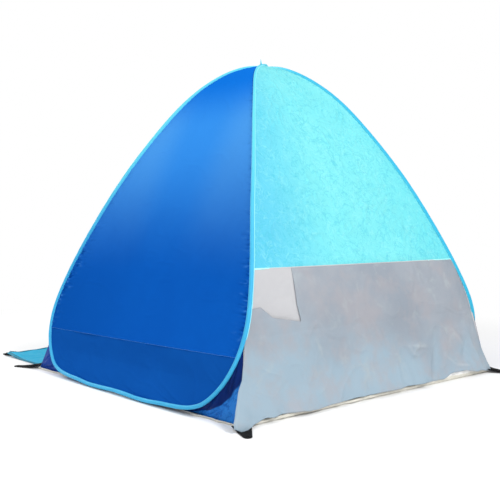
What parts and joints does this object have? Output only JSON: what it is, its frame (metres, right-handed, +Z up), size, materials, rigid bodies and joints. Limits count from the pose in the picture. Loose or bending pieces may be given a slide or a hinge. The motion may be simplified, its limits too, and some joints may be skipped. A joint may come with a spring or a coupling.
{
  "type": "pop-up tent",
  "caption": "Self-erecting tent: crossing spring-wire side loops in fabric sleeves, coloured panels, rear window with curtain, zipped porch flap, ground sheet and peg loops.",
  "frame": {"origin": "on the ground, under the middle of the ground sheet", "axes": "+Z up; -Y out of the doorway over the porch; +Y out of the curtained rear window; +X and -X through the side loops"},
  "size_m": [1.5544, 1.8408, 1.3032],
  "materials": {
    "spring_steel": "drawn wire, satin",
    "ferrule_steel": "crimped, satin",
    "sleeve_fabric": "sky-blue polyester binding",
    "panel_fabric": "royal-blue polyester taffeta, silver-coated inside",
    "band_fabric": "darker royal-blue polyester",
    "gusset_fabric": "blue polyester, creased",
    "roof_fabric": "bright cyan polyester, thin",
    "window_mesh": "fine off-white mesh",
    "curtain_fabric": "silver-grey coated polyester",
    "floor_sheet": "woven polyethylene, beige underside",
    "porch_fabric": "cyan-blue polyester",
    "porch_binding": "dark teal binding",
    "webbing": "black polypropylene webbing",
    "zip_tape": "woven zip tape with coil",
    "zip_metal": "enamelled zinc"
  },
  "bodies": {
    "right_side": {"frame_wire_right": "spring_steel", "wire_ferrule_right": "ferrule_steel", "sleeve_right": "sleeve_fabric", "side_panel_right": "panel_fabric", "side_band_right": "band_fabric", "gusset_rear_right": "gusset_fabric", "gusset_front_right": "gusset_fabric", "zip_tape_right": "zip_tape", "floor_sheet": "floor_sheet", "rear_roof": "roof_fabric", "rear_window": "window_mesh", "front_hood": "roof_fabric", "crossing_patch": "sleeve_fabric"},
    "left_side": {"frame_wire_left": "spring_steel", "wire_ferrule_left": "ferrule_steel", "sleeve_left": "sleeve_fabric", "side_panel_left": "panel_fabric", "side_band_left": "band_fabric", "gusset_rear_left": "gusset_fabric", "gusset_front_left": "gusset_fabric", "zip_tape_left": "zip_tape"},
    "curtain": {"rear_curtain": "curtain_fabric"},
    "porch": {"porch_flap": "porch_fabric", "porch_binding": "porch_binding"},
    "lantern_hanger": {"lantern_loop": "webbing"},
    "peg_rear_right": {"peg_loop_rear_right": "webbing"},
    "peg_front_right": {"peg_loop_front_right": "webbing"},
    "peg_porch_right": {"peg_loop_porch_right": "webbing"},
    "slider_right": {"zip_slider_right": "zip_metal"},
    "pull_right": {"zip_pull_right": "zip_metal"},
    "peg_rear_left": {"peg_loop_rear_left": "webbing"},
    "peg_front_left": {"peg_loop_front_left": "webbing"},
    "peg_porch_left": {"peg_loop_porch_left": "webbing"},
    "slider_left": {"zip_slider_left": "zip_metal"},
    "pull_left": {"zip_pull_left": "zip_metal"}
  },
  "joints": [
    {"name": "side_fold", "type": "hinge", "parent": "right_side", "child": "left_side", "pos_m": [0, 0, 1.266], "axis": [0, -1, 0], "range_deg": [0, 57], "deforming": ["rear_roof", "rear_window", "front_hood", "floor_sheet", "crossing_patch", "rear_curtain", "porch_flap", "porch_binding"]},
    {"name": "porch_fold", "type": "hinge", "parent": "right_side", "child": "porch", "pos_m": [0, -0.661, 0.001], "axis": [-1, 0, 0], "range_deg": [0, 94]},
    {"name": "curtain_lift", "type": "hinge", "parent": "right_side", "child": "curtain", "pos_m": [0, 0.5605, 0.4815], "axis": [1, 0, 0], "range_deg": [0, 100]},
    {"name": "lantern_swing", "type": "hinge", "parent": "right_side", "child": "lantern_hanger", "pos_m": [0, 0, 1.2635], "axis": [1, 0, 0], "range_deg": [-40, 40]},
    {"name": "peg_turn_rear_right", "type": "hinge", "parent": "right_side", "child": "peg_rear_right", "pos_m": [0.71209, 0.66275, 0.0015], "axis": [0.848, -0.5299, 0], "range_deg": [0, 80]},
    {"name": "peg_turn_front_right", "type": "hinge", "parent": "right_side", "child": "peg_front_right", "pos_m": [0.71209, -0.66275, 0.0015], "axis": [-0.848, -0.5299, 0], "range_deg": [0, 80]},
    {"name": "peg_turn_porch_right", "type": "hinge", "parent": "porch", "child": "peg_porch_right", "pos_m": [0.662, -1.0135, 0.0015], "axis": [-1, 0, 0], "range_deg": [0, 80]},
    {"name": "zip_slide_right", "type": "slide", "parent": "right_side", "child": "slider_right", "axis": [-0.0248, 0.5417, 0.8402], "range_m": [-0.015, 0.08]},
    {"name": "pull_turn_right", "type": "hinge", "parent": "slider_right", "child": "pull_right", "pos_m": [0.68905, -0.63343, 0.04103], "axis": [-0.9997, -0.0073, -0.0248], "range_deg": [0, 100]},
    {"name": "peg_turn_rear_left", "type": "hinge", "parent": "left_side", "child": "peg_rear_left", "pos_m": [-0.71209, 0.66275, 0.0015], "axis": [0.848, 0.5299, 0], "range_deg": [0, 80]},
    {"name": "peg_turn_front_left", "type": "hinge", "parent": "left_side", "child": "peg_front_left", "pos_m": [-0.71209, -0.66275, 0.0015], "axis": [-0.848, 0.5299, 0], "range_deg": [0, 80]},
    {"name": "peg_turn_porch_left", "type": "hinge", "parent": "porch", "child": "peg_porch_left", "pos_m": [-0.662, -1.0135, 0.0015], "axis": [-1, 0, 0], "range_deg": [0, 80]},
    {"name": "zip_slide_left", "type": "slide", "parent": "left_side", "child": "slider_left", "axis": [0.0248, 0.5417, 0.8402], "range_m": [-0.015, 0.08]},
    {"name": "pull_turn_left", "type": "hinge", "parent": "slider_left", "child": "pull_left", "pos_m": [-0.68905, -0.63343, 0.04103], "axis": [-0.9997, 0.0073, 0.0248], "range_deg": [0, 100]}
  ]
}
